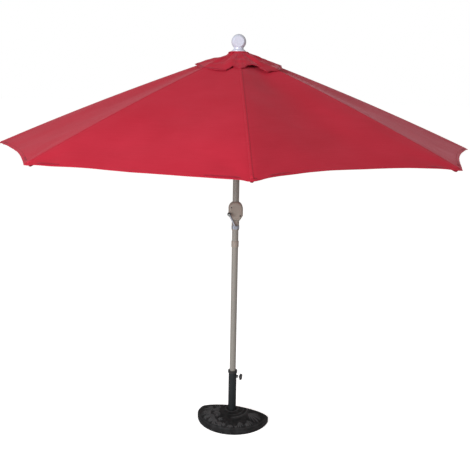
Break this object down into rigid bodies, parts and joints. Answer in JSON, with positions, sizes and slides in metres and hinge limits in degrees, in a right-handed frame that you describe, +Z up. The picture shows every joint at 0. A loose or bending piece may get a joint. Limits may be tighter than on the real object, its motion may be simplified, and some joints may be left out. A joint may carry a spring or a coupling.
{
  "type": "half-round patio umbrella with base",
  "caption": "Half-round crank parasol: folding ribs and vented canopy on a pole, held by a clamp screw in a half-round weighted foot.",
  "frame": {"origin": "the pole's axis at floor level, on the foot's underside", "axes": "+Z up the pole, +X along the canopy's straight wall side, -Y towards the open front"},
  "size_m": [2.7, 1.4409, 2.355],
  "materials": {
    "resin": "cast resin stone, near-black, matte",
    "black_steel": "black powder coat, satin",
    "black_plastic": "moulded, satin",
    "taupe_steel": "taupe powder coat, satin",
    "taupe_plastic": "taupe moulded plastic, satin",
    "chrome": "bright plated",
    "zinc_steel": "zinc plated",
    "grey_plastic": "pale grey moulded plastic",
    "cloth": "woven polyester, wine red",
    "cord": "braided polyester"
  },
  "bodies": {
    "stand": {"base_weight": "resin", "base_tube": "black_steel", "tube_cap_ring": "black_plastic", "clamp_nut": "black_steel"},
    "clamp_screw_body": {"clamp_screw": "zinc_steel"},
    "clamp_knob_body": {"clamp_knob": "black_plastic"},
    "bush": {"pole_bush": "black_plastic"},
    "mast": {"lower_pole": "taupe_steel", "pole_end_plug": "black_plastic", "pole_collar": "taupe_plastic", "pole_connector": "zinc_steel", "upper_pole": "taupe_steel", "crank_sleeve": "taupe_plastic", "crank_bearing": "chrome", "crank_housing_front": "taupe_plastic", "crank_housing_back": "taupe_plastic", "housing_screws": "black_steel", "top_hub": "taupe_plastic", "hub_pins": "zinc_steel", "pulley_axle": "zinc_steel", "cord_pulley": "black_plastic", "hub_washer": "black_plastic", "cap_centre": "cloth", "finial_base": "grey_plastic", "finial_ball": "grey_plastic", "finial_stud": "zinc_steel", "lift_cord_inner": "cord"},
    "crank": {"crank_axle": "zinc_steel", "cord_spool": "black_plastic", "crank_arm": "chrome", "crank_knob_pin": "zinc_steel"},
    "crank_grip": {"crank_knob": "black_plastic"},
    "runner_body": {"runner": "taupe_plastic", "runner_pins": "zinc_steel", "lift_cord_outer": "cord"},
    "rib_front_body": {"rib_front": "taupe_steel", "rib_fittings_front": "black_plastic", "canopy_front": "cloth", "vent_cap_front": "cloth"},
    "strut_front_body": {"strut_front": "taupe_steel"},
    "rib_left_body": {"rib_left": "taupe_steel", "rib_fittings_left": "black_plastic", "canopy_left": "cloth", "vent_cap_left": "cloth"},
    "strut_left_body": {"strut_left": "taupe_steel"},
    "rib_front_left_body": {"rib_front_left": "taupe_steel", "rib_fittings_front_left": "black_plastic", "canopy_front_left": "cloth", "vent_cap_front_left": "cloth"},
    "strut_front_left_body": {"strut_front_left": "taupe_steel"},
    "rib_front_right_body": {"rib_front_right": "taupe_steel", "rib_fittings_front_right": "black_plastic", "canopy_front_right": "cloth", "vent_cap_front_right": "cloth"},
    "strut_front_right_body": {"strut_front_right": "taupe_steel"},
    "rib_right_body": {"rib_right": "taupe_steel", "rib_fittings_right": "black_plastic", "canopy_right": "cloth", "vent_cap_right": "cloth"},
    "strut_right_body": {"strut_right": "taupe_steel"}
  },
  "joints": [
    {"name": "clamp_screw_travel", "type": "slide", "parent": "stand", "child": "clamp_screw_body", "axis": [0.9613, -0.2756, 0], "range_m": [0, 0.006]},
    {"name": "clamp_knob_turn", "type": "hinge", "parent": "clamp_screw_body", "child": "clamp_knob_body", "pos_m": [0.04907, -0.01407, 0.306], "axis": [0.9613, -0.2756, 0], "range_deg": [0, 1728]},
    {"name": "mast_turn", "type": "hinge", "parent": "stand", "child": "bush", "pos_m": [0, 0, 0.25], "axis": [0, 0, 1], "continuous": true},
    {"name": "mast_lift", "type": "slide", "parent": "bush", "child": "mast", "axis": [0, 0, 1], "range_m": [0, 0.26]},
    {"name": "rib_fold_front", "type": "hinge", "parent": "mast", "child": "rib_front_body", "pos_m": [0, -0.04, 2.235], "axis": [1, 0, 0], "range_deg": [0, 62], "deforming": ["canopy_front", "vent_cap_front"]},
    {"name": "strut_fold_front", "type": "hinge", "parent": "rib_front_body", "child": "strut_front_body", "pos_m": [0, -0.40035, 2.08585], "axis": [1, 0, 0], "range_deg": [-124, 0]},
    {"name": "rib_fold_left", "type": "hinge", "parent": "mast", "child": "rib_left_body", "pos_m": [-0.04, 0, 2.235], "axis": [0, -1, 0], "range_deg": [0, 62], "deforming": ["canopy_left", "vent_cap_left"]},
    {"name": "strut_fold_left", "type": "hinge", "parent": "rib_left_body", "child": "strut_left_body", "pos_m": [-0.40035, 0, 2.08585], "axis": [0, -1, 0], "range_deg": [-124, 0]},
    {"name": "rib_fold_front_left", "type": "hinge", "parent": "mast", "child": "rib_front_left_body", "pos_m": [-0.02828, -0.02828, 2.235], "axis": [0.7071, -0.7071, 0], "range_deg": [0, 62], "deforming": ["canopy_front_left", "vent_cap_front_left"]},
    {"name": "strut_fold_front_left", "type": "hinge", "parent": "rib_front_left_body", "child": "strut_front_left_body", "pos_m": [-0.28309, -0.28309, 2.08585], "axis": [0.7071, -0.7071, 0], "range_deg": [-124, 0]},
    {"name": "rib_fold_front_right", "type": "hinge", "parent": "mast", "child": "rib_front_right_body", "pos_m": [0.02828, -0.02828, 2.235], "axis": [0.7071, 0.7071, 0], "range_deg": [0, 62], "deforming": ["canopy_front_right", "vent_cap_front_right"]},
    {"name": "strut_fold_front_right", "type": "hinge", "parent": "rib_front_right_body", "child": "strut_front_right_body", "pos_m": [0.28309, -0.28309, 2.08585], "axis": [0.7071, 0.7071, 0], "range_deg": [-124, 0]},
    {"name": "rib_fold_right", "type": "hinge", "parent": "mast", "child": "rib_right_body", "pos_m": [0.04, 0, 2.235], "axis": [0, 1, 0], "range_deg": [0, 62], "deforming": ["canopy_right", "vent_cap_right"]},
    {"name": "strut_fold_right", "type": "hinge", "parent": "rib_right_body", "child": "strut_right_body", "pos_m": [0.40035, 0, 2.08585], "axis": [0, 1, 0], "range_deg": [-124, 0]},
    {"name": "runner_slide", "type": "slide", "parent": "mast", "child": "runner_body", "axis": [0, 0, -1], "range_m": [0, 0.47809], "deforming": ["lift_cord_outer"]},
    {"name": "crank_turn", "type": "hinge", "parent": "mast", "child": "crank", "pos_m": [0, -0.032, 1.265], "axis": [0, 1, 0], "range_deg": [0, 2608.84]},
    {"name": "crank_knob_spin", "type": "hinge", "parent": "crank", "child": "crank_grip", "pos_m": [-0.041, -0.055, 1.351], "axis": [0, 1, 0], "continuous": true}
  ],
  "couplings": [
    {"joint": "clamp_screw_travel", "follows": "clamp_knob_turn", "m_per_rad": 0.00019894},
    {"joint": "strut_fold_front", "follows": "rib_fold_front", "ratio": -2},
    {"joint": "rib_fold_left", "follows": "rib_fold_front", "ratio": 1},
    {"joint": "strut_fold_left", "follows": "rib_fold_front", "ratio": -2},
    {"joint": "rib_fold_front_left", "follows": "rib_fold_front", "ratio": 1},
    {"joint": "strut_fold_front_left", "follows": "rib_fold_front", "ratio": -2},
    {"joint": "rib_fold_front_right", "follows": "rib_fold_front", "ratio": 1},
    {"joint": "strut_fold_front_right", "follows": "rib_fold_front", "ratio": -2},
    {"joint": "rib_fold_right", "follows": "rib_fold_front", "ratio": 1},
    {"joint": "strut_fold_right", "follows": "rib_fold_front", "ratio": -2},
    {"joint": "runner_slide", "follows": "rib_fold_front", "m_per_rad": 0.44182},
    {"joint": "crank_turn", "follows": "rib_fold_front", "ratio": 42.078}
  ]
}
